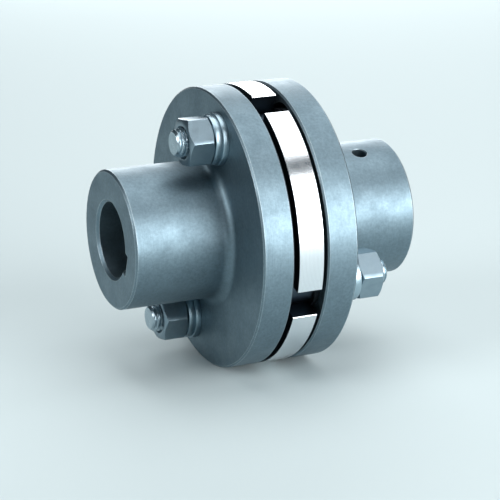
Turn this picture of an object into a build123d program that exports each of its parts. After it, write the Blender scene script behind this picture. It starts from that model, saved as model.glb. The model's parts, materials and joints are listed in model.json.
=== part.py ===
from build123d import *
import os
from math import cos, radians, sin

# Single-flexing disc coupling, in millimetres.
#
# Two identical flanged hubs are joined by a pack of thin spring-steel discs. Four bolts pass
# through the pack, and each is nutted to one flange only: bolts 1 and 3 to the drive hub, bolts 2
# and 4 to the driven hub. The head of each bolt sits free in a blind pocket of the other flange.
#
# Frame: +X runs along the shaft axis from the drive hub to the driven hub, +Z is up, and the
# origin is on the axis, in the middle of the disc pack. Angles about the axis start at +Z and
# grow towards -Y.

# ---- Driving dimensions -------------------------------------------------------------------------

# Hub barrel and bore
bore_diameter = 32.0
barrel_wall = 13.5
barrel_length = 42.8
barrel_end_chamfer = 0.8
bore_mouth_chamfer = 1.2
root_fillet = 4.0

# Keyway, in the bore wall
key_width = 10.0
key_depth = 3.3
key_angle_from_nut = 90.0

# Flange
flange_thickness = 13.7
flange_rim_chamfer = 0.7
rim_wall = 2.5

# Disc pack
disc_count = 18
disc_thickness = 0.6
disc_inner_land = 3.0
notch_width = 12.4
notch_corner_radius = 0.6
eye_wall = 2.1

# Bolts, nuts and washers
bolts_per_hub = 2
first_bolt_angle = 21.0
bolt_diameter = 12.0
bolt_hole_clearance = 0.2
bolt_projection = 4.0
bolt_end_chamfer = 1.3
across_flats = 19.0
hex_turn = 24.0
head_height = 7.5
head_side_clearance = 1.5
head_end_clearance = 1.5
nut_height = 10.8
hex_edge_chamfer = 1.1
flat_washer_diameter = 22.0
flat_washer_thickness = 2.5
washer_to_fillet = 0.5
spring_washer_diameter = 21.0
spring_washer_thickness = 3.0
spring_washer_slit = 1.6
spring_washer_slit_skew = 25.0
pack_washer_diameter = 20.0
pack_washer_thickness = 2.1

# Set screws
screw_diameter = 6.0
screw_hole_clearance = 0.1
screw_length = 8.0
screw_point_gap = 0.2
screw_point_height = 1.5
screw_socket_width = 3.0
screw_socket_depth = 3.5
screw_from_barrel_end = 16.8
screw_mouth_chamfer = 0.5

# ---- Sizes that follow --------------------------------------------------------------------------

bore_radius = bore_diameter / 2
barrel_radius = bore_radius + barrel_wall
bolt_hole_radius = (bolt_diameter + bolt_hole_clearance) / 2
bolt_circle_radius = barrel_radius + root_fillet + washer_to_fillet + flat_washer_diameter / 2
hex_corner_diameter = across_flats / cos(radians(30))
pocket_radius = hex_corner_diameter / 2 + head_side_clearance
pocket_depth = head_height + head_end_clearance
flange_radius = bolt_circle_radius + pocket_radius + rim_wall

disc_inner_radius = bolt_circle_radius - pack_washer_diameter / 2 - disc_inner_land
eye_radius = bolt_hole_radius + eye_wall
pack_thickness = disc_count * disc_thickness

pack_face = pack_thickness / 2
inner_face = pack_face + pack_washer_thickness
outer_face = inner_face + flange_thickness
barrel_end = outer_face + barrel_length
spring_washer_seat = outer_face + flat_washer_thickness
nut_seat = spring_washer_seat + spring_washer_thickness
bolt_end = nut_seat + nut_height + bolt_projection
bolt_shank_length = inner_face + bolt_end

bolt_count = 2 * bolts_per_hub
bolt_spacing = 360 / bolt_count
bolt_angles = [first_bolt_angle + bolt_spacing * i for i in range(bolt_count)]

LEFT, RIGHT = -1, 1
bolt_sides = [LEFT if i % 2 == 0 else RIGHT for i in range(bolt_count)]
hub_names = {LEFT: "drive", RIGHT: "driven"}

os.makedirs("parts", exist_ok=True)


def axial_plane(x: float, side: int, radius: float = 0.0, angle: float = 0.0) -> Plane:
    """Plane square to the shaft axis, facing away from the pack on that side; its x points up."""
    turn = radians(angle)
    origin = (side * x, -radius * sin(turn), radius * cos(turn))
    return Plane(origin=origin, x_dir=(0, 0, 1), z_dir=(side, 0, 0))


def nearest_corner(sketch: BuildSketch, x: float, y: float) -> Vertex:
    """The corner of a section that lies at (x, y)."""
    return sketch.vertices().sort_by_distance((x, y))[0]


def save(part: Part, name: str) -> None:
    """Label a finished piece and write its file."""
    part.label = name
    export_step(part, f"parts/{name}.step")


# ---- Hubs ---------------------------------------------------------------------------------------


def make_hub(side: int) -> Part:
    """Flanged hub: keyed bore, its own bolt holes, pockets for the other hub's bolt heads."""
    own_bolt, other_bolt = [bolt_angles[bolt_sides.index(s)] for s in (side, -side)]
    key_angle = own_bolt + key_angle_from_nut
    screw_angle = key_angle + 180
    hub_length = flange_thickness + barrel_length
    section_plane = Plane(origin=(side * inner_face, 0, 0), x_dir=(0, 0, 1), z_dir=(0, side, 0))

    with BuildPart() as hub:
        # Turned body: the half section, across the axis and out along it
        with BuildSketch(section_plane) as section:
            with BuildLine():
                Polyline(
                    (bore_radius, 0),
                    (flange_radius, 0),
                    (flange_radius, flange_thickness),
                    (barrel_radius, flange_thickness),
                    (barrel_radius, hub_length),
                    (bore_radius, hub_length),
                    close=True,
                )
            make_face()
            fillet(nearest_corner(section, barrel_radius, flange_thickness), root_fillet)
            chamfer(nearest_corner(section, flange_radius, flange_thickness), flange_rim_chamfer)
            chamfer(nearest_corner(section, flange_radius, 0), flange_rim_chamfer)
            chamfer(nearest_corner(section, barrel_radius, hub_length), barrel_end_chamfer)
            chamfer(nearest_corner(section, bore_radius, hub_length), bore_mouth_chamfer)
        revolve(axis=Axis.X)

        # Keyway along the whole bore
        with BuildSketch(axial_plane(inner_face, side)):
            Rectangle(
                bore_radius + key_depth,
                key_width,
                rotation=side * key_angle,
                align=(Align.MIN, Align.CENTER),
            )
        extrude(amount=hub_length, mode=Mode.SUBTRACT)

        # Bolt holes through the flange
        with BuildSketch(axial_plane(inner_face, side)):
            with PolarLocations(bolt_circle_radius, bolts_per_hub, start_angle=side * own_bolt):
                Circle(bolt_hole_radius)
        extrude(amount=flange_thickness, mode=Mode.SUBTRACT)

        # Blind pockets round the other hub's bolt heads
        with BuildSketch(axial_plane(inner_face, side)):
            with PolarLocations(bolt_circle_radius, bolts_per_hub, start_angle=side * other_bolt):
                Circle(pocket_radius)
        extrude(amount=pocket_depth, mode=Mode.SUBTRACT)

        # Tapped hole for the set screw, opposite the keyway
        with Locations(screw_plane(side, screw_angle, barrel_radius)):
            CounterSinkHole(
                radius=(screw_diameter + screw_hole_clearance) / 2,
                counter_sink_radius=screw_diameter / 2 + screw_mouth_chamfer,
                depth=barrel_radius,
                counter_sink_angle=90,
            )
    return hub.part


def screw_plane(side: int, angle: float, radius: float) -> Plane:
    """Plane square to the set screw's axis, at that radius, facing out of the barrel."""
    turn = radians(angle)
    outward = (0, -sin(turn), cos(turn))
    origin = (side * (barrel_end - screw_from_barrel_end), radius * outward[1], radius * outward[2])
    return Plane(origin=origin, x_dir=(1, 0, 0), z_dir=outward)


def make_set_screw(side: int) -> Part:
    """Socket set screw, its cone point just clear of the bore."""
    own_bolt = bolt_angles[bolt_sides.index(side)]
    screw_angle = own_bolt + key_angle_from_nut + 180
    screw_radius = screw_diameter / 2
    point_plane = screw_plane(side, screw_angle, bore_radius + screw_point_gap)

    with BuildPart(point_plane) as screw:
        Cylinder(screw_radius, screw_length, align=(Align.CENTER, Align.CENTER, Align.MIN))
        point_edge = screw.edges().filter_by(GeomType.CIRCLE).sort_by_distance(point_plane.origin)[0]
        chamfer(point_edge, screw_point_height)
        with BuildSketch(point_plane.offset(screw_length)):
            RegularPolygon(screw_socket_width / 2, 6, major_radius=False)
        extrude(amount=-screw_socket_depth, mode=Mode.SUBTRACT)
    return screw.part


for side, hub_name in hub_names.items():
    save(make_hub(side), f"{hub_name}_hub")
    save(make_set_screw(side), f"set_screw_{hub_name}")

# ---- Disc pack ----------------------------------------------------------------------------------


def make_disc(x: float) -> Part:
    """One disc: flush with the flanges, notched down to a rounded eye at each bolt."""
    with BuildPart() as disc:
        with BuildSketch(axial_plane(x, RIGHT)) as outline:
            Circle(flange_radius)
            with PolarLocations(bolt_circle_radius, bolt_count, start_angle=first_bolt_angle):
                Rectangle(
                    flange_radius,
                    notch_width,
                    align=(Align.MIN, Align.CENTER),
                    mode=Mode.SUBTRACT,
                )
            rim_corners = outline.vertices().filter_by(
                lambda v: Vector(*v).length > flange_radius - notch_corner_radius
            )
            fillet(rim_corners, notch_corner_radius)
            with PolarLocations(bolt_circle_radius, bolt_count, start_angle=first_bolt_angle):
                Circle(eye_radius)
                Circle(bolt_hole_radius, mode=Mode.SUBTRACT)
            Circle(disc_inner_radius, mode=Mode.SUBTRACT)
        extrude(amount=disc_thickness)
    return disc.part


for i in range(disc_count):
    save(make_disc(i * disc_thickness - pack_face), f"disc_{i + 1:02d}")

# ---- Bolts, nuts and washers --------------------------------------------------------------------


def make_ring(plane: Plane, diameter: float, thickness: float) -> Part:
    """Plain washer that fits the bolt, standing on the plane."""
    with BuildPart() as ring:
        with BuildSketch(plane):
            Circle(diameter / 2)
            Circle(bolt_hole_radius, mode=Mode.SUBTRACT)
        extrude(amount=thickness)
    return ring.part


def make_spring_washer(plane: Plane) -> Part:
    """Split washer pressed flat, with a skewed slit."""
    slit_length = spring_washer_diameter / 2
    with BuildPart(plane) as washer:
        with BuildSketch(plane):
            Circle(spring_washer_diameter / 2)
            Circle(bolt_hole_radius, mode=Mode.SUBTRACT)
        extrude(amount=spring_washer_thickness)
        with Locations((slit_length / 2, 0, spring_washer_thickness / 2)):
            Box(
                slit_length,
                spring_washer_slit,
                spring_washer_diameter,
                rotation=(spring_washer_slit_skew, 0, 0),
                mode=Mode.SUBTRACT,
            )
    return washer.part


def make_hex_blank(plane: Plane, side: int, height: float, chamfered_ends: int) -> Part:
    """Hexagon prism with turned corners on its outer end, or on both ends."""
    corner_radius = hex_corner_diameter / 2
    section_plane = Plane(origin=plane.origin, x_dir=plane.x_dir, z_dir=-plane.y_dir)
    with BuildPart() as blank:
        with BuildSketch(plane):
            RegularPolygon(across_flats / 2, 6, major_radius=False, rotation=side * hex_turn)
        extrude(amount=height)
        with BuildSketch(section_plane) as section:
            Rectangle(corner_radius, height, align=(Align.MIN, Align.MIN))
            ends = [height, 0][:chamfered_ends]
            corners = [nearest_corner(section, corner_radius, end) for end in ends]
            chamfer(corners, hex_edge_chamfer / 2, hex_edge_chamfer)
        revolve(axis=Axis(plane.origin, plane.z_dir), mode=Mode.INTERSECT)
    return blank.part


def make_nut(plane: Plane, side: int) -> Part:
    """Hexagon nut, standing on the plane."""
    with BuildPart() as nut:
        add(make_hex_blank(plane, side, nut_height, chamfered_ends=2))
        with BuildSketch(plane):
            Circle(bolt_hole_radius)
        extrude(amount=nut_height, mode=Mode.SUBTRACT)
    return nut.part


def make_bolt(head_plane: Plane, shank_plane: Plane, side: int) -> Part:
    """Hexagon-head bolt; both planes are at the underside of the head, facing opposite ways."""
    with BuildPart() as bolt:
        add(make_hex_blank(head_plane, -side, head_height, chamfered_ends=1))
        with BuildSketch(shank_plane):
            Circle(bolt_diameter / 2)
        extrude(amount=bolt_shank_length)
        end_centre = shank_plane.offset(bolt_shank_length).origin
        end_edge = bolt.edges().filter_by(GeomType.CIRCLE).sort_by_distance(end_centre)[0]
        chamfer(end_edge, bolt_end_chamfer)
    return bolt.part


for i, (angle, side) in enumerate(zip(bolt_angles, bolt_sides), start=1):
    place = dict(radius=bolt_circle_radius, angle=angle)
    flange_side_plane = axial_plane(pack_face, side, **place)
    head_side_plane = axial_plane(pack_face, -side, **place)
    save(make_ring(flange_side_plane, pack_washer_diameter, pack_washer_thickness), f"flange_washer_{i}")
    save(make_ring(head_side_plane, pack_washer_diameter, pack_washer_thickness), f"head_washer_{i}")

    outer_plane = axial_plane(outer_face, side, **place)
    save(make_ring(outer_plane, flat_washer_diameter, flat_washer_thickness), f"flat_washer_{i}")
    save(make_spring_washer(axial_plane(spring_washer_seat, side, **place)), f"spring_washer_{i}")
    save(make_nut(axial_plane(nut_seat, side, **place), side), f"nut_{i}")

    under_head = axial_plane(inner_face, -side, **place)
    save(make_bolt(under_head, axial_plane(-inner_face, side, **place), side), f"bolt_{i}")
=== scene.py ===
"""Looks of a disc coupling: two flanged hubs, a pack of spring-steel discs, and its bolts.

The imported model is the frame. Hubs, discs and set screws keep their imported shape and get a
finish; bolts, nuts and washers are modelled here in finer detail, each in the place of its
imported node. Lengths are in millimetres until a piece is put in place.
"""

from __future__ import annotations

import json
import logging
import math
from dataclasses import dataclass, field
from enum import IntEnum
from typing import Any, Callable, Sequence

import bmesh
import bpy
from mathutils import Matrix, Vector

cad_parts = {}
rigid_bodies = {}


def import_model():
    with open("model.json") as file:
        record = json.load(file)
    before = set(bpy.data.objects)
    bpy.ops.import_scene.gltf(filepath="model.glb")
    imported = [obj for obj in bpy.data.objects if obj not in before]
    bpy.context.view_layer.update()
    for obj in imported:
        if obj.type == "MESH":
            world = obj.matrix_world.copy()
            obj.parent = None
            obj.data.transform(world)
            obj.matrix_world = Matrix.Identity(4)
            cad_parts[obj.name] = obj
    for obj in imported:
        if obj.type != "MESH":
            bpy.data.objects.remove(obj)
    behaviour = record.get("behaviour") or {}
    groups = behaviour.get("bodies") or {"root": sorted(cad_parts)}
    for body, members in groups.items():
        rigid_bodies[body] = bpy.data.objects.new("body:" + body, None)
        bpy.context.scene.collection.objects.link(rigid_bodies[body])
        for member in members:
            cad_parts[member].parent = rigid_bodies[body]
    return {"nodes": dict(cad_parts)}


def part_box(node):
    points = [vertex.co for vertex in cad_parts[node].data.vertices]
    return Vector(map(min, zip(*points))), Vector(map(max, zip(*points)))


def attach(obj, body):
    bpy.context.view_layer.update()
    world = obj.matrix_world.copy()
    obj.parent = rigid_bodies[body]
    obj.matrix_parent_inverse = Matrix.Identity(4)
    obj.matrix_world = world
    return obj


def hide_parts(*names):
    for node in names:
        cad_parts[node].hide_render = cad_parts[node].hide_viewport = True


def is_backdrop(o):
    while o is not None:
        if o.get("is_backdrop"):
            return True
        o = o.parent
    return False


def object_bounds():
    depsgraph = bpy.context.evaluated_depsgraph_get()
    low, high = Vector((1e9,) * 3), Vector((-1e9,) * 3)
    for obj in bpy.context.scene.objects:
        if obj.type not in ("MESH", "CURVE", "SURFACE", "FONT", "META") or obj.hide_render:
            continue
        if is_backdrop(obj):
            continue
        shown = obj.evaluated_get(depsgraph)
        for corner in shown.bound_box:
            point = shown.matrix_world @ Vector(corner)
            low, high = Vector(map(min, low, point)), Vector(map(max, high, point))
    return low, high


LOG = logging.getLogger("disc_coupling")
MM = 0.001
BODY = "root"
FULL_TURN = 2 * math.pi

# Faces that meet at more than this angle keep a crisp edge, or get a rounded one.
SHARP_ANGLE = math.radians(32)
SOFT_EDGE_SEGMENTS = 2
MERGE_MM = 1e-5

# A Mix node's inputs go by number, since its kinds of data share their names: its share, its two
# numbers and its two colours. Then its outputs: a number and a colour.
MIX_SHARE, MIX_LOW, MIX_HIGH, MIX_FROM, MIX_TO = 0, 2, 3, 6, 7
MIX_NUMBER, MIX_COLOUR = 0, 2

# The values between which a noise spends nearly all of its surface.
NOISE_LOW, NOISE_HIGH = 0.3, 0.7
MOTTLE_NOISE = {"Detail": 4.0, "Roughness": 0.6}
GRAIN_NOISE = {"Detail": 2.0, "Roughness": 0.7}
SPECKLE_NOISE = {"Detail": 3.0, "Roughness": 0.75}
# Real spots are a few tenths of a millimetre; they are drawn coarser so that they show.
SPECKLE_MM = 1.3
# Height of the relief as a share of the grain's spacing.
RELIEF_SHARE = 0.2
# Where a sheet's edge starts to darken, from its middle at 0 to its joint at 0.5, and how far.
JOINT_START, JOINT_END, JOINT_SHADE = 0.4, 0.5, 0.45
# How far the rounded and the flat normal agree where the brightened edge starts and where it is
# full. The brightening is partly handling wear and partly a painted highlight along the edges.
EDGE_WEAR_HIGHLIGHT_START, EDGE_WEAR_HIGHLIGHT_FULL, EDGE_WEAR_HIGHLIGHT_SHARE = 0.99, 0.9, 0.55
# Edge colour: partly worn metal, partly a painted highlight.
EDGE_WEAR_HIGHLIGHT_COLOUR = "#d6e2e7"
WEAR_ROUGHNESS = 0.3
EDGE_WEAR_HIGHLIGHT_SAMPLES = 6
# Width over which the polished rim gives way to the duller surface inside it, whose colour is
# painted dark there as shade of the notches.
RIM_BLEND_MM = 0.3

LoopShape = Callable[[float], tuple[float, float]]


class Side(IntEnum):
    """The hub a piece belongs to, by the way it faces along the shaft axis."""

    DRIVE = -1
    DRIVEN = 1

    def other(self) -> Side:
        """Give the hub across the disc pack.

        Returns:
            The other side.
        """
        return Side(-self)


# ---- Finishes -----------------------------------------------------------------------------------


def linear(code: str) -> tuple[float, float, float, float]:
    """Turn an sRGB hex value into a linear colour.

    Args:
        code: Six hex digits with a leading hash.

    Returns:
        Red, green, blue and an alpha of 1.
    """
    parts = [int(code[i : i + 2], 16) / 255 for i in (1, 3, 5)]
    low = 0.04045
    values = [p / 12.92 if p <= low else ((p + 0.055) / 1.055) ** 2.4 for p in parts]
    return (values[0], values[1], values[2], 1.0)


def add_node(
    tree: bpy.types.NodeTree,
    kind: str,
    links: dict[str | int, bpy.types.NodeSocket] | None = None,
    values: dict[str | int, Any] | None = None,
    **settings: Any,
) -> bpy.types.Node:
    """Add one shader node with its settings, values and incoming links.

    Args:
        tree: The node tree that gets the node.
        kind: The node's type name.
        links: Input names or numbers, and the sockets that feed them.
        values: Input names or numbers, and their fixed values.
        **settings: Properties of the node itself.

    Returns:
        The new node.
    """
    node = tree.nodes.new(kind)
    for name, value in settings.items():
        setattr(node, name, value)
    for key, value in (values or {}).items():
        node.inputs[key].default_value = value
    for key, socket in (links or {}).items():
        tree.links.new(socket, node.inputs[key])
    return node


def new_material(name: str) -> tuple[bpy.types.Material, bpy.types.NodeTree]:
    """Make an empty node material.

    Args:
        name: The material's name.

    Returns:
        The material and its node tree, with nothing in it.
    """
    material = bpy.data.materials.new(name)
    material.use_nodes = True
    material.node_tree.nodes.clear()
    return material, material.node_tree


@dataclass(frozen=True)
class SteelFinish:
    """A bare or plated steel surface.

    Args:
        name: What the finish is called.
        colour: Reflection colour, sRGB hex.
        shade: Colour of its duller patches, sRGB hex.
        roughness: Mean roughness.
        roughness_spread: How far the roughness wanders either way.
        mottle_mm: Size of the duller patches.
        grain_mm: Spacing of tool marks or grain.
        grain_depth: Strength of the grain in the relief.
        turned: Grain runs round the shaft axis, as a lathe leaves it.
        speckle: Strength of the fine light and dark spots.
        metallic: Share of the surface that is bare metal.
        inner_radius_mm: Distance from the shaft axis inside which the surface is duller and painted
            darker as shade.
        inner_colour: Colour of that painted shade inside that distance, sRGB hex.
        inner_roughness: Roughness inside that distance.
        layer_mm: Thickness of the stacked sheets whose joints show as fine lines.
        edge_mm: Width of the edges brightened as handling wear and as a painted highlight.
    """

    name: str
    colour: str
    shade: str
    roughness: float
    roughness_spread: float
    mottle_mm: float
    grain_mm: float
    grain_depth: float
    turned: bool = False
    speckle: float = 0.0
    metallic: float = 1.0
    inner_radius_mm: float = 0.0
    inner_colour: str = "#000000"
    inner_roughness: float = 0.5
    layer_mm: float = 0.0
    edge_mm: float = 0.0

    def build(self) -> bpy.types.Material:
        """Build the node material of this finish.

        Returns:
            The material.
        """
        material, tree = new_material(self.name)
        place = add_node(tree, "ShaderNodeTexCoord").outputs["Object"]
        mottle = add_node(
            tree,
            "ShaderNodeTexNoise",
            {"Vector": place},
            {"Scale": 1 / (self.mottle_mm * MM), **MOTTLE_NOISE},
        ).outputs["Fac"]
        grain = add_node(
            tree,
            "ShaderNodeTexNoise",
            {"Vector": self._grain_place(tree, place)},
            {"Scale": 1 / (self.grain_mm * MM), **GRAIN_NOISE},
        ).outputs["Fac"]
        base = add_node(
            tree,
            "ShaderNodeMix",
            {MIX_SHARE: mottle},
            {MIX_FROM: linear(self.shade), MIX_TO: linear(self.colour)},
            data_type="RGBA",
        ).outputs[MIX_COLOUR]
        colour = self._speckled(tree, place, base) if self.speckle else base
        if self.layer_mm:
            colour = self._layered(tree, place, colour)
        roughness = add_node(
            tree,
            "ShaderNodeMapRange",
            {"Value": mottle},
            {
                "From Min": NOISE_LOW,
                "From Max": NOISE_HIGH,
                "To Min": self.roughness + self.roughness_spread,
                "To Max": self.roughness - self.roughness_spread,
            },
        ).outputs["Result"]
        # Edges get a brighter colour: partly wear, partly a painted highlight.
        if self.edge_mm:
            colour, roughness = self._bright_edges(tree, colour, roughness)
        # Inside the disc rim the colour is painted dark as shade.
        if self.inner_radius_mm:
            colour, roughness = self._duller_and_shaded_inside(tree, place, colour, roughness)
        relief = add_node(
            tree,
            "ShaderNodeBump",
            {"Height": grain},
            {"Strength": self.grain_depth, "Distance": self.grain_mm * MM * RELIEF_SHARE},
        ).outputs["Normal"]
        shader = add_node(
            tree,
            "ShaderNodeBsdfPrincipled",
            {"Base Color": colour, "Roughness": roughness, "Normal": relief},
            {"Metallic": self.metallic},
        )
        add_node(tree, "ShaderNodeOutputMaterial", {"Surface": shader.outputs["BSDF"]})
        return material

    def _grain_place(
        self, tree: bpy.types.NodeTree, place: bpy.types.NodeSocket
    ) -> bpy.types.NodeSocket:
        """Coordinates of the grain: along the axis and out from it where the piece is turned.

        Args:
            tree: The node tree that gets the nodes.
            place: The piece's own coordinates.

        Returns:
            The coordinates that the grain reads.
        """
        if not self.turned:
            return place
        split, reach = self._reach(tree, place)
        return add_node(
            tree,
            "ShaderNodeCombineXYZ",
            {"X": split.outputs["X"], "Y": reach.outputs["Value"]},
        ).outputs["Vector"]

    def _reach(
        self, tree: bpy.types.NodeTree, place: bpy.types.NodeSocket
    ) -> tuple[bpy.types.Node, bpy.types.Node]:
        """Split a place into its parts, and measure its distance from the shaft axis.

        Args:
            tree: The node tree that gets the nodes.
            place: The piece's own coordinates.

        Returns:
            The node with the parts and the node with the distance.
        """
        split = add_node(tree, "ShaderNodeSeparateXYZ", {"Vector": place})
        across = add_node(
            tree, "ShaderNodeCombineXYZ", {"X": split.outputs["Y"], "Y": split.outputs["Z"]}
        )
        reach = add_node(
            tree, "ShaderNodeVectorMath", {0: across.outputs["Vector"]}, operation="LENGTH"
        )
        return split, reach

    def _speckled(
        self,
        tree: bpy.types.NodeTree,
        place: bpy.types.NodeSocket,
        base: bpy.types.NodeSocket,
    ) -> bpy.types.NodeSocket:
        """Scatter fine light and dark spots, as the open grain of machined steel shows.

        Args:
            tree: The node tree that gets the nodes.
            place: The piece's own coordinates.
            base: The colour without spots.

        Returns:
            The spotted colour.
        """
        spots = add_node(
            tree,
            "ShaderNodeTexNoise",
            {"Vector": place},
            {"Scale": 1 / (SPECKLE_MM * MM), **SPECKLE_NOISE},
        ).outputs["Fac"]
        level_of_spot = add_node(
            tree,
            "ShaderNodeMapRange",
            {"Value": spots},
            {
                "From Min": NOISE_LOW,
                "From Max": NOISE_HIGH,
                "To Min": 1 - self.speckle,
                "To Max": 1 + self.speckle,
            },
        ).outputs["Result"]
        return add_node(
            tree,
            "ShaderNodeMix",
            {MIX_FROM: base, MIX_TO: level_of_spot},
            {MIX_SHARE: 1.0},
            data_type="RGBA",
            blend_type="MULTIPLY",
        ).outputs[MIX_COLOUR]

    def _layered(
        self,
        tree: bpy.types.NodeTree,
        place: bpy.types.NodeSocket,
        base: bpy.types.NodeSocket,
    ) -> bpy.types.NodeSocket:
        """Draw the fine dark joints between sheets stacked along the shaft axis.

        Args:
            tree: The node tree that gets the nodes.
            place: The piece's own coordinates.
            base: The colour of a sheet's edge.

        Returns:
            The colour with its joints.
        """
        along = add_node(tree, "ShaderNodeSeparateXYZ", {"Vector": place}).outputs["X"]
        sheets = add_node(
            tree, "ShaderNodeMath", {0: along}, {1: 1 / (self.layer_mm * MM)}, operation="MULTIPLY"
        ).outputs[0]
        part = add_node(tree, "ShaderNodeMath", {0: sheets}, operation="FRACT").outputs[0]
        centred = add_node(
            tree, "ShaderNodeMath", {0: part}, {1: 0.5}, operation="SUBTRACT"
        ).outputs[0]
        from_middle = add_node(
            tree, "ShaderNodeMath", {0: centred}, operation="ABSOLUTE"
        ).outputs[0]
        shade = add_node(
            tree,
            "ShaderNodeMapRange",
            {"Value": from_middle},
            {
                "From Min": JOINT_START,
                "From Max": JOINT_END,
                "To Min": 1.0,
                "To Max": JOINT_SHADE,
            },
        ).outputs["Result"]
        return add_node(
            tree,
            "ShaderNodeMix",
            {MIX_FROM: base, MIX_TO: shade},
            {MIX_SHARE: 1.0},
            data_type="RGBA",
            blend_type="MULTIPLY",
        ).outputs[MIX_COLOUR]

    def _bright_edges(
        self,
        tree: bpy.types.NodeTree,
        colour: bpy.types.NodeSocket,
        roughness: bpy.types.NodeSocket,
    ) -> tuple[bpy.types.NodeSocket, bpy.types.NodeSocket]:
        """Brighten and smooth the edges: partly wear, since handling polishes them first, and partly
        a painted highlight along them.

        Args:
            tree: The node tree that gets the nodes.
            colour: The colour away from the edges.
            roughness: The roughness away from the edges.

        Returns:
            The colour and the roughness of the whole piece.
        """
        rounded = add_node(
            tree,
            "ShaderNodeBevel",
            values={"Radius": self.edge_mm * MM},
            samples=EDGE_WEAR_HIGHLIGHT_SAMPLES,
        ).outputs["Normal"]
        flat = add_node(tree, "ShaderNodeNewGeometry").outputs["Normal"]
        agreement = add_node(
            tree, "ShaderNodeVectorMath", {0: rounded, 1: flat}, operation="DOT_PRODUCT"
        ).outputs["Value"]
        edge = add_node(
            tree,
            "ShaderNodeMapRange",
            {"Value": agreement},
            {"From Min": EDGE_WEAR_HIGHLIGHT_START, "From Max": EDGE_WEAR_HIGHLIGHT_FULL, "To Max": EDGE_WEAR_HIGHLIGHT_SHARE},
        ).outputs["Result"]
        # Painted highlight along the edges, partly standing for wear.
        brighter = add_node(
            tree,
            "ShaderNodeMix",
            {MIX_SHARE: edge, MIX_FROM: colour},
            {MIX_TO: linear(EDGE_WEAR_HIGHLIGHT_COLOUR)},
            data_type="RGBA",
        ).outputs[MIX_COLOUR]
        smoother = add_node(
            tree,
            "ShaderNodeMix",
            {MIX_SHARE: edge, MIX_LOW: roughness},
            {MIX_HIGH: WEAR_ROUGHNESS},
        ).outputs[MIX_NUMBER]
        return brighter, smoother

    def _duller_and_shaded_inside(
        self,
        tree: bpy.types.NodeTree,
        place: bpy.types.NodeSocket,
        colour: bpy.types.NodeSocket,
        roughness: bpy.types.NodeSocket,
    ) -> tuple[bpy.types.NodeSocket, bpy.types.NodeSocket]:
        """Keep the polish to the outer rim, and leave the surface inside it duller, with its colour
        painted dark as shade.

        Args:
            tree: The node tree that gets the nodes.
            place: The piece's own coordinates.
            colour: The colour of the rim.
            roughness: The roughness of the rim.

        Returns:
            The colour and the roughness of the whole piece.
        """
        _, reach = self._reach(tree, place)
        edge = self.inner_radius_mm * MM
        rim = add_node(
            tree,
            "ShaderNodeMapRange",
            {"Value": reach.outputs["Value"]},
            {"From Min": edge - RIM_BLEND_MM * MM, "From Max": edge},
        ).outputs["Result"]
        # The inner colour is painted shade of the notches and the gaps inside the rim.
        painted_shade_colour = add_node(
            tree,
            "ShaderNodeMix",
            {MIX_SHARE: rim, MIX_TO: colour},
            {MIX_FROM: linear(self.inner_colour)},
            data_type="RGBA",
        ).outputs[MIX_COLOUR]
        dulled = add_node(
            tree,
            "ShaderNodeMix",
            {MIX_SHARE: rim, MIX_HIGH: roughness},
            {MIX_LOW: self.inner_roughness},
        ).outputs[MIX_NUMBER]
        return painted_shade_colour, dulled


# Carbon steel, turned on a lathe and left bare: cool grey, satin, with fine marks round the axis.
# The real marks are about 0.2 mm apart; they are drawn coarser so that they show.
TURNED_CARBON_STEEL = SteelFinish(
    name="turned_carbon_steel",
    colour="#7a8e98",
    shade="#657882",
    roughness=0.49,
    roughness_spread=0.05,
    mottle_mm=11.0,
    grain_mm=0.9,
    grain_depth=0.4,
    turned=True,
    speckle=0.13,
    # Edges brightened, partly as wear and partly as a painted highlight.
    edge_mm=0.6,
)
# Cold-rolled spring steel, blanked and polished: nearly a mirror along its cut rim, with the joints
# between its sheets as fine lines.
# Inside the rim, in the notches and round the bolts, its colour is painted dark as shade.
POLISHED_SPRING_STEEL = SteelFinish(
    name="polished_spring_steel",
    colour="#f4f7fa",
    shade="#e2e9ee",
    roughness=0.2,
    roughness_spread=0.03,
    mottle_mm=9.0,
    grain_mm=0.5,
    grain_depth=0.15,
    inner_radius_mm=59.6,
    inner_colour="#39434c",
    inner_roughness=0.34,
    layer_mm=0.6,
)
# Zinc-plated bolt steel: bright, slightly blue and faintly cloudy.
ZINC_PLATED_BOLT = SteelFinish(
    name="zinc_plated_bolt_steel",
    colour="#b3c4cc",
    shade="#98abb5",
    roughness=0.3,
    roughness_spread=0.05,
    mottle_mm=3.0,
    grain_mm=0.5,
    grain_depth=0.3,
)
# Zinc-plated nut: the same plating, duller on its drawn flats.
ZINC_PLATED_NUT = SteelFinish(
    name="zinc_plated_nut_steel",
    colour="#95a8b2",
    shade="#7a8d98",
    roughness=0.34,
    roughness_spread=0.05,
    mottle_mm=4.0,
    grain_mm=0.6,
    grain_depth=0.3,
)
# Zinc-plated washer, tumbled after punching: soft sheen.
ZINC_PLATED_WASHER = SteelFinish(
    name="zinc_plated_washer_steel",
    colour="#a9bec8",
    shade="#93a9b4",
    roughness=0.32,
    roughness_spread=0.05,
    mottle_mm=4.0,
    grain_mm=0.5,
    grain_depth=0.3,
)
# Black oxide on hardened steel: dark, oily and low in gloss. The set screws have it as their own
# finish; on the washers inside the disc pack its darkness is painted shade of the narrow gaps.
BLACK_OXIDE_AND_PAINTED_SHADE = SteelFinish(
    name="black_oxide_and_shade_steel",
    colour="#2b3136",
    shade="#1c2024",
    roughness=0.42,
    roughness_spread=0.06,
    mottle_mm=5.0,
    grain_mm=0.6,
    grain_depth=0.4,
    metallic=0.8,
)

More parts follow.
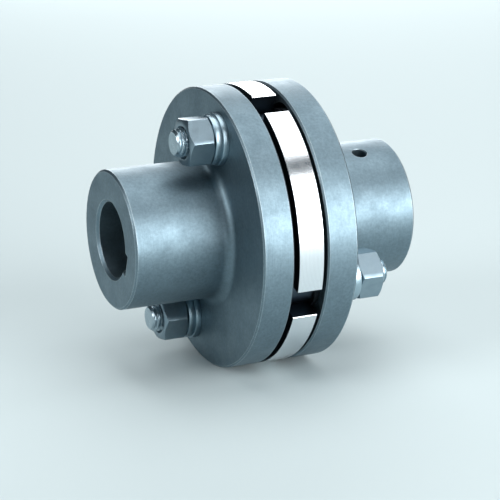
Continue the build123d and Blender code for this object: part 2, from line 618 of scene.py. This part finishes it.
FINISH_OF_SLOT: dict[str, SteelFinish] = {
    "hub_steel": TURNED_CARBON_STEEL,
    "disc_steel": POLISHED_SPRING_STEEL,
    "bolt_steel": ZINC_PLATED_BOLT,
    "nut_steel": ZINC_PLATED_NUT,
    "washer_steel": ZINC_PLATED_WASHER,
    "spring_washer_steel": ZINC_PLATED_WASHER,
    # The washers inside the disc pack are dark as painted shade of its gaps.
    "pack_washer_steel": BLACK_OXIDE_AND_PAINTED_SHADE,
    "screw_steel": BLACK_OXIDE_AND_PAINTED_SHADE,
}


class Paint:
    """Keeps one built material for each slot of the record."""

    def __init__(self) -> None:
        """Start with nothing built."""
        self._built: dict[str, bpy.types.Material] = {}

    def of(self, slot: str) -> bpy.types.Material:
        """Look up the material of a slot, and build it on its first use.

        Args:
            slot: The record's material slot.

        Returns:
            The slot's material.
        """
        finish = FINISH_OF_SLOT[slot]
        if finish.name not in self._built:
            self._built[finish.name] = finish.build()
        return self._built[finish.name]


# ---- Mesh tools ---------------------------------------------------------------------------------


def loft(segments: int, loops: Sequence[LoopShape], closed: bool) -> bmesh.types.BMesh:
    """Make a form round local Z from loops, each drawn out of the last one.

    Args:
        segments: Vertices in each loop.
        loops: For each loop, the radius and height at an angle.
        closed: Join the last loop to the first, as in a ring; otherwise cap both ends.

    Returns:
        The closed form, its faces pointing outwards.
    """
    form = bmesh.new()
    bmesh.ops.create_circle(form, segments=segments, radius=1.0, cap_ends=False)
    verts, edges = list(form.verts), list(form.edges)
    rims = []
    for number, shape in enumerate(loops):
        if number:
            drawn = bmesh.ops.extrude_edge_only(form, edges=edges)["geom"]
            verts = [g for g in drawn if isinstance(g, bmesh.types.BMVert)]
            edges = [g for g in drawn if isinstance(g, bmesh.types.BMEdge)]
        for vert in verts:
            angle = math.atan2(vert.co.y, vert.co.x)
            radius, height = shape(angle)
            vert.co = (radius * math.cos(angle), radius * math.sin(angle), height)
        rims.append(edges)
    if closed:
        bmesh.ops.remove_doubles(form, verts=form.verts, dist=MERGE_MM)
    else:
        for rim in (rims[0], rims[-1]):
            bmesh.ops.edgeloop_fill(form, edges=rim)
    bmesh.ops.recalc_face_normals(form, faces=form.faces)
    return form


def level(radius: float, height: float) -> LoopShape:
    """Draw a round loop at one height.

    Args:
        radius: The loop's radius.
        height: The loop's height.

    Returns:
        The loop.
    """
    return lambda angle: (radius, height)


def across_hex(angle: float, flat: float) -> float:
    """Distance from the middle of a hexagon to its side.

    Args:
        angle: Direction, measured from a corner.
        flat: Distance from the middle to a flat.

    Returns:
        The distance in that direction.
    """
    sixth = FULL_TURN / 6
    return flat / math.cos((angle % sixth) - sixth / 2)


@dataclass(frozen=True)
class Seat:
    """Where a bolted piece sits.

    Args:
        x: Place along the shaft axis.
        y: Place of the bolt's axis across it.
        z: Height of the bolt's axis.
        side: The way the piece points.
    """

    x: float
    y: float
    z: float
    side: Side

    def matrix(self) -> Matrix:
        """Turn local Z to the piece's side and local X up, and millimetres to metres.

        Returns:
            The matrix that takes a form to its place in the frame.
        """
        out, up = Vector((self.side, 0, 0)), Vector((0, 0, 1))
        turn = Matrix((up, out.cross(up), out)).transposed().to_4x4()
        place = Matrix.Translation(Vector((self.x, self.y, self.z)) * MM)
        return place @ turn @ Matrix.Scale(MM, 4)


def put(
    form: bmesh.types.BMesh,
    name: str,
    place: Matrix,
    slot: str,
    paint: Paint,
    stands_for: Sequence[str],
    soften_mm: float = 0.0,
) -> None:
    """Turn a form into a finished piece in the frame, riding on the only body.

    Args:
        form: The form, round local Z, in millimetres.
        name: The piece's name.
        place: Takes the form to its place in the frame.
        slot: The record's material slot.
        paint: Gives the slot's material.
        stands_for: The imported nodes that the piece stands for.
        soften_mm: Width of the rounding on its edges.
    """
    bmesh.ops.transform(form, matrix=place, verts=form.verts)
    bmesh.ops.recalc_face_normals(form, faces=form.faces)
    mesh = bpy.data.meshes.new(name)
    form.to_mesh(mesh)
    form.free()
    mesh.materials.append(paint.of(slot))
    mesh.shade_smooth()
    mesh.set_sharp_from_angle(angle=SHARP_ANGLE)
    piece = bpy.data.objects.new(name, mesh)
    bpy.context.scene.collection.objects.link(piece)
    if soften_mm:
        bevel = piece.modifiers.new("soft_edges", "BEVEL")
        bevel.width = soften_mm * MM
        bevel.segments = SOFT_EDGE_SEGMENTS
        bevel.limit_method = "ANGLE"
        bevel.angle_limit = SHARP_ANGLE
        bevel.harden_normals = True
    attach(piece, BODY)
    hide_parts(*stands_for)
    LOG.info("%s: %d faces, stands for %s", name, len(mesh.polygons), ", ".join(stands_for))


# ---- Bolts, nuts and washers --------------------------------------------------------------------


@dataclass
class BoltStack:
    """One bolt with its nut and its washers.

    Args:
        number: Which bolt, from 1.
        paint: Gives the materials.
        segments: Vertices round each piece.
        flat: Distance from the bolt's axis to a flat of its head or nut.
        corner_angle: How far a corner stands from the top, in degrees.
        chamfer_radius: Radius where the turned corners start.
        chamfer_slope: Fall of the turned corners, which is the tangent of 30 degrees.
        thread_pitch: Rise of the thread in a turn.
        thread_depth: Depth of the thread.
        thread_length: Length of the threaded end.
        thread_steps: Loops in each turn of the thread.
        thread_crest: Half the flat of the thread's crest, as a share of its pitch.
        thread_flank: Width of the thread's flank, as a share of its pitch.
        end_chamfer: Depth of the chamfer on the bolt's end.
        bore_radius: Radius of the holes in the nut and the washers.
        bore_clearance: Gap between the bolt's shank and those holes.
        head_fillet: Size of the fillet under the head.
        nut_mouth: Depth of the countersink at the nut's ends.
        nut_softening: Width of the rounding on the nut's edges.
        roll: Radius of a washer's rounded edge.
        roll_cut: Share of that radius cut off halfway round the edge.
        burr: Size of a washer's crisp edge.
        bar_corner: Radius of the corners of the split washer's bar.
        slit: Width of the split washer's slit.
        slit_skew: Lean of that slit, in degrees.
        side: The way the bolt's end points, read from its packed nut.
        y: Place of the bolt's axis across the shaft axis.
        z: Height of the bolt's axis.
    """

    number: int
    paint: Paint
    segments: int = 72
    flat: float = 9.5
    corner_angle: float = 24.0
    chamfer_radius: float = 9.05
    chamfer_slope: float = 0.5774
    thread_pitch: float = 1.75
    thread_depth: float = 1.07
    thread_length: float = 18.0
    thread_steps: int = 14
    thread_crest: float = 1 / 16
    thread_flank: float = 5 / 16
    end_chamfer: float = 1.3
    bore_radius: float = 6.1
    bore_clearance: float = 0.1
    head_fillet: float = 0.6
    nut_mouth: float = 0.9
    nut_softening: float = 0.14
    roll: float = 0.35
    roll_cut: float = 0.3
    burr: float = 0.1
    bar_corner: float = 0.35
    slit: float = 1.6
    slit_skew: float = 25.0
    side: Side = field(init=False)
    y: float = field(init=False)
    z: float = field(init=False)

    def __post_init__(self) -> None:
        """Read the bolt's side from its packed nut and its axis from its packed washer."""
        low, _ = self._box("nut")
        self.side = Side.DRIVEN if low.x > 0 else Side.DRIVE
        ring_low, ring_high = self._box("flat_washer")
        middle = (ring_low + ring_high) / 2
        self.y, self.z = middle.y, middle.z

    def _box(self, kind: str) -> tuple[Vector, Vector]:
        """Measure this bolt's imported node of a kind.

        Args:
            kind: The first part of the node's name.

        Returns:
            Its lowest and highest corner, in millimetres.
        """
        low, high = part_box(f"{kind}_{self.number}")
        return low / MM, high / MM

    def _seat(self, kind: str, side: Side) -> tuple[Seat, float, float]:
        """Find where a packed ring or nut starts, how thick it is and how far it reaches.

        Args:
            kind: The first part of the node's name.
            side: The way the piece points along the shaft axis.

        Returns:
            Its seat, its thickness and its outer radius.
        """
        low, high = self._box(kind)
        start = low.x if side > 0 else high.x
        return Seat(start, self.y, self.z, side), high.x - low.x, (high.z - low.z) / 2

    def _hex_loops(self, height: float, both_ends: bool) -> list[LoopShape]:
        """Outer loops of a hexagon with turned corners, from its seat to its end.

        Args:
            height: Height of the hexagon.
            both_ends: Turn the corners at the seat as well.

        Returns:
            The loops, from the seat up.
        """
        corner = math.radians(self.corner_angle)

        def radius(angle: float) -> float:
            return across_hex(angle - self.side * corner, self.flat)

        def drop(angle: float) -> float:
            return (radius(angle) - self.chamfer_radius) * self.chamfer_slope

        loops: list[LoopShape] = []
        if both_ends:
            loops += [level(self.chamfer_radius, 0), lambda a: (radius(a), drop(a))]
        else:
            loops += [lambda a: (radius(a), 0)]
        loops += [lambda a: (radius(a), height - drop(a)), level(self.chamfer_radius, height)]
        return loops

    def _nut(self) -> None:
        """Hexagon nut: turned corners at both ends and a countersunk thread mouth."""
        seat, height, _ = self._seat("nut", self.side)
        mouth = self.bore_radius + self.nut_mouth
        bore = self.bore_radius
        loops = [
            level(mouth, 0),
            *self._hex_loops(height, both_ends=True),
            level(mouth, height),
            level(bore, height - self.nut_mouth),
            level(bore, self.nut_mouth),
            level(mouth, 0),
        ]
        form = loft(self.segments, loops, closed=True)
        self._finish(form, "nut", seat, "nut_steel", self.nut_softening)

    def _ring(self, kind: str, side: Side, slot: str) -> None:
        """Punched washer: rounded edges where the punch went in, crisp ones where it came out.

        Args:
            kind: First part of the node's name.
            side: The way the rounded edges face.
            slot: The record's material slot.
        """
        seat, height, radius = self._seat(kind, side)
        bore, roll, burr = self.bore_radius, self.roll, self.burr
        cut = roll * self.roll_cut
        loops = [
            level(bore + burr, 0),
            level(radius - burr, 0),
            level(radius, burr),
            level(radius, height - roll),
            level(radius - cut, height - cut),
            level(radius - roll, height),
            level(bore + roll, height),
            level(bore, height - roll),
            level(bore, burr),
            level(bore + burr, 0),
        ]
        form = loft(self.segments, loops, closed=True)
        self._finish(form, kind, seat, slot)

    def _spring_washer(self) -> None:
        """Split washer: a bar coiled once round the bolt, with a skewed slit at the top."""
        seat, height, radius = self._seat("spring_washer", self.side)
        middle = (radius + self.bore_radius) / 2
        half_slit = math.asin(self.slit / 2 / middle)
        form = bmesh.new()
        corners = [
            form.verts.new((r * math.cos(half_slit), r * math.sin(half_slit), h))
            for r, h in (
                (self.bore_radius, 0),
                (radius, 0),
                (radius, height),
                (self.bore_radius, height),
            )
        ]
        form.faces.new(corners)
        bmesh.ops.bevel(
            form,
            geom=list(form.verts),
            offset=self.bar_corner,
            affect="VERTICES",
            segments=2,
            profile=0.5,
            material=-1,
        )
        form.faces.ensure_lookup_table()
        section = form.faces[0]
        outline = list(section.verts) + list(section.edges)
        swept = bmesh.ops.spin(
            form,
            geom=outline,
            cent=(0, 0, 0),
            axis=(0, 0, 1),
            angle=FULL_TURN - 2 * half_slit,
            steps=self.segments,
            use_merge=False,
        )["geom_last"]
        end_edges = [g for g in swept if isinstance(g, bmesh.types.BMEdge)]
        bmesh.ops.edgeloop_fill(form, edges=end_edges)
        skew = math.tan(math.radians(self.slit_skew)) / middle
        for vert in form.verts:
            turn = -self.side * skew * (vert.co.z - height / 2)
            vert.co = Matrix.Rotation(turn, 3, "Z") @ vert.co
        self._finish(form, "spring_washer", seat, "spring_washer_steel")

    def _bolt(self) -> None:
        """Hexagon-head bolt: head, shank and a rolled thread that runs out at its turned end."""
        low, high = self._box("bolt")
        ring_low, ring_high = self._box("head_washer")
        if self.side is Side.DRIVE:
            far_end, under_head, head_end = low.x, ring_high.x, high.x
        else:
            far_end, under_head, head_end = high.x, ring_low.x, low.x
        head_height = abs(head_end) - abs(under_head)
        length = abs(far_end - under_head)
        shank = self.bore_radius - self.bore_clearance
        head = self._hex_loops(head_height, both_ends=False)
        loops: list[LoopShape] = [
            lambda a, shape=shape: (shape(a)[0], -shape(a)[1]) for shape in reversed(head)
        ]
        loops += [level(shank + self.head_fillet, 0), level(shank, self.head_fillet)]
        loops += self._thread_loops(shank, length)
        form = loft(self.segments, loops, closed=False)
        seat = Seat(under_head, self.y, self.z, self.side)
        self._finish(form, "bolt", seat, "bolt_steel")

    def _thread_loops(self, radius: float, length: float) -> list[LoopShape]:
        """Loops of the threaded end of a bolt.

        Args:
            radius: Outer radius of the thread.
            length: Length of the bolt under its head.

        Returns:
            The loops, from where the thread starts to the bolt's end.
        """
        start = length - self.thread_length
        count = math.ceil(self.thread_length / self.thread_pitch * self.thread_steps)

        def shape(height: float) -> LoopShape:
            run_out = min(1.0, (height - start) / self.thread_pitch)
            cone = radius - self.end_chamfer + (length - height)

            def at(angle: float) -> tuple[float, float]:
                turn = (height / self.thread_pitch - self.side * angle / FULL_TURN) % 1.0
                from_crest = abs(turn - 0.5)
                down = (from_crest - self.thread_crest) / self.thread_flank
                fall = self.thread_depth * min(1.0, max(0.0, down))
                return min(radius - fall * run_out, cone), height

            return at

        return [shape(start + self.thread_length * i / count) for i in range(count + 1)]

    def _finish(
        self,
        form: bmesh.types.BMesh,
        kind: str,
        seat: Seat,
        slot: str,
        soften_mm: float = 0.0,
    ) -> None:
        """Put a form of this bolt in place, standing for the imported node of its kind.

        Args:
            form: The form, round local Z.
            kind: First part of the node's name.
            seat: Where it sits.
            slot: The record's material slot.
            soften_mm: Width of the rounding on its edges.
        """
        node = f"{kind}_{self.number}"
        put(form, f"{node}_detail", seat.matrix(), slot, self.paint, [node], soften_mm)

    def build(self) -> None:
        """Build every piece of the stack."""
        self._bolt()
        self._nut()
        self._spring_washer()
        self._ring("flat_washer", self.side, "washer_steel")
        # These washers in the disc pack are dark as painted shade of the gaps.
        self._ring("flange_washer", self.side, "pack_washer_steel")
        self._ring("head_washer", self.side.other(), "pack_washer_steel")


# ---- Hubs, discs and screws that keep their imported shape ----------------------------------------


@dataclass
class PackedPieces:
    """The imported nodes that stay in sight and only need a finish.

    Args:
        nodes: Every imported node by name.
        paint: Gives the materials.
        slots: How the name of a node that stays starts, and its material slot.
    """

    nodes: dict[str, bpy.types.Object]
    paint: Paint
    slots: dict[str, str] = field(
        default_factory=lambda: {
            "drive_hub": "hub_steel",
            "driven_hub": "hub_steel",
            "set_screw": "screw_steel",
            "disc_": "disc_steel",
        }
    )

    def build(self) -> None:
        """Give each node that stays the material of its slot."""
        for name, node in sorted(self.nodes.items()):
            for start, slot in self.slots.items():
                if name.startswith(start):
                    node.data.materials.clear()
                    node.data.materials.append(self.paint.of(slot))
                    LOG.info("%s: keeps its packed shape, %s", name, slot)


# ---- Studio -------------------------------------------------------------------------------------


@dataclass(frozen=True)
class Softbox:
    """A flat lamp with an even face.

    Args:
        name: The lamp's name.
        place: Its middle, in metres.
        aim: The point that it faces, in metres.
        width: Its width, in metres.
        height: Its height, in metres.
        level: Brightness of its face, where 1 is white.
    """

    name: str
    place: tuple[float, float, float]
    aim: tuple[float, float, float]
    width: float
    height: float
    level: float

    def build(self) -> None:
        """Make the lamp and turn it to its aim."""
        lamp = bpy.data.lights.new(self.name, "AREA")
        lamp.shape = "RECTANGLE"
        lamp.size, lamp.size_y = self.width, self.height
        lamp.energy = self.level * self.width * self.height * math.pi
        holder = bpy.data.objects.new(self.name, lamp)
        holder.location = self.place
        heading = Vector(self.aim) - Vector(self.place)
        holder.rotation_euler = heading.to_track_quat("-Z", "Y").to_euler()
        bpy.context.scene.collection.objects.link(holder)


@dataclass
class Studio:
    """Plain pale floor, soft lamps and the camera.

    Args:
        floor_height: Height of the floor, in metres.
        floor_colour: Colour of the floor, sRGB hex.
        floor_size: Width of the floor, in metres.
        floor_roughness: Roughness of the floor.
        floor_gloss: Level of the floor's mirror reflection.
        world_colour: Colour of the dim light from all round, sRGB hex.
        world_level: Strength of that light.
        camera_place: Place of the camera, in metres.
        yaw: Turn of the camera away from the Y axis, in degrees.
        pitch: How far the camera looks down, in degrees.
        roll: Turn of the camera about its view, in degrees.
        lens: Focal length, in millimetres.
        sensor: Width of the sensor, in millimetres.
        lamps: The softboxes.
    """

    floor_height: float
    floor_colour: str = "#c3d0d2"
    floor_size: float = 16.0
    floor_roughness: float = 0.9
    floor_gloss: float = 0.2
    world_colour: str = "#6f8796"
    world_level: float = 0.25
    camera_place: tuple[float, float, float] = (-0.34767, -0.76530, 0.22541)
    yaw: float = 24.419
    pitch: float = 15.803
    roll: float = -0.685
    lens: float = 146.13
    sensor: float = 36.0
    lamps: tuple[Softbox, ...] = (
        Softbox("overhead_softbox", (0.35, 0.13, 1.25), (0.35, 0.13, 0.0), 1.5, 1.46, 2.4),
        Softbox("front_strip", (0.55, -1.20, 0.19), (0.0, 0.0, 0.19), 1.2, 0.44, 9.5),
        Softbox("front_softbox", (0.55, -1.20, 0.76), (0.0, 0.0, 0.3), 1.2, 0.68, 4.0),
        Softbox("left_softbox", (-1.16, -0.22, 0.62), (0.0, 0.0, 0.1), 0.6, 0.7, 5.5),
        Softbox("back_softbox", (0.64, 1.41, 0.50), (0.0, 0.0, 0.2), 1.0, 1.0, 4.5),
    )

    def build(self) -> None:
        """Build the whole studio."""
        self._floor()
        self._world()
        for lamp in self.lamps:
            lamp.build()
        self._camera()
        scene = bpy.context.scene
        scene.view_settings.view_transform = "Standard"
        LOG.info("studio: floor at %.4f m, %d lamps", self.floor_height, len(self.lamps))

    def _floor(self) -> None:
        """Make the plain pale floor."""
        material, tree = new_material("matt_paper_floor")
        shader = add_node(
            tree,
            "ShaderNodeBsdfPrincipled",
            values={
                "Base Color": linear(self.floor_colour),
                "Roughness": self.floor_roughness,
                "Specular IOR Level": self.floor_gloss,
            },
        )
        add_node(tree, "ShaderNodeOutputMaterial", {"Surface": shader.outputs["BSDF"]})
        form = bmesh.new()
        place = Matrix.Translation((0, 0, self.floor_height))
        bmesh.ops.create_grid(
            form, x_segments=1, y_segments=1, size=self.floor_size / 2, matrix=place
        )
        mesh = bpy.data.meshes.new("floor")
        form.to_mesh(mesh)
        form.free()
        mesh.materials.append(material)
        floor = bpy.data.objects.new("floor", mesh)
        bpy.context.scene.collection.objects.link(floor)
        floor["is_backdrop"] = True

    def _world(self) -> None:
        """Make the dim light from all round."""
        world = bpy.data.worlds.new("studio_world")
        bpy.context.scene.world = world
        world.use_nodes = True
        tree = world.node_tree
        tree.nodes.clear()
        shader = add_node(
            tree,
            "ShaderNodeBackground",
            values={"Color": linear(self.world_colour), "Strength": self.world_level},
        )
        add_node(tree, "ShaderNodeOutputWorld", {"Surface": shader.outputs["Background"]})

    def _camera(self) -> None:
        """Make the camera from its place and its turn."""
        yaw, pitch, roll = (math.radians(v) for v in (self.yaw, self.pitch, self.roll))
        ahead = Vector(
            (math.sin(yaw) * math.cos(pitch), math.cos(yaw) * math.cos(pitch), -math.sin(pitch))
        )
        right = Vector((math.cos(yaw), -math.sin(yaw), 0))
        up = right.cross(ahead)
        across = math.cos(roll) * right + math.sin(roll) * up
        above = -math.sin(roll) * right + math.cos(roll) * up
        turn = Matrix((across, above, -ahead)).transposed().to_4x4()
        data = bpy.data.cameras.new("studio_camera")
        data.lens, data.sensor_width = self.lens, self.sensor
        camera = bpy.data.objects.new("studio_camera", data)
        camera.matrix_world = Matrix.Translation(self.camera_place) @ turn
        bpy.context.scene.collection.objects.link(camera)
        bpy.context.scene.camera = camera


# ---- Making the scene ---------------------------------------------------------------------------


def corners() -> list[list[float]]:
    """Give the whole object's lowest and highest corner as plain lists.

    Returns:
        The two corners, in metres.
    """
    return [[float(v) for v in corner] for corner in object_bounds()]


def main() -> None:
    logging.basicConfig(level=logging.INFO, format="%(name)s: %(message)s")
    for thing in list(bpy.data.objects):
        bpy.data.objects.remove(thing)
    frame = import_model()
    packed = corners()
    paint = Paint()
    PackedPieces(frame["nodes"], paint).build()
    bolts = sorted(n for n in frame["nodes"] if n.startswith("bolt_"))
    for number in range(1, len(bolts) + 1):
        BoltStack(number, paint).build()
    Studio(floor_height=packed[0][2]).build()


if __name__ == "__main__":
    main()
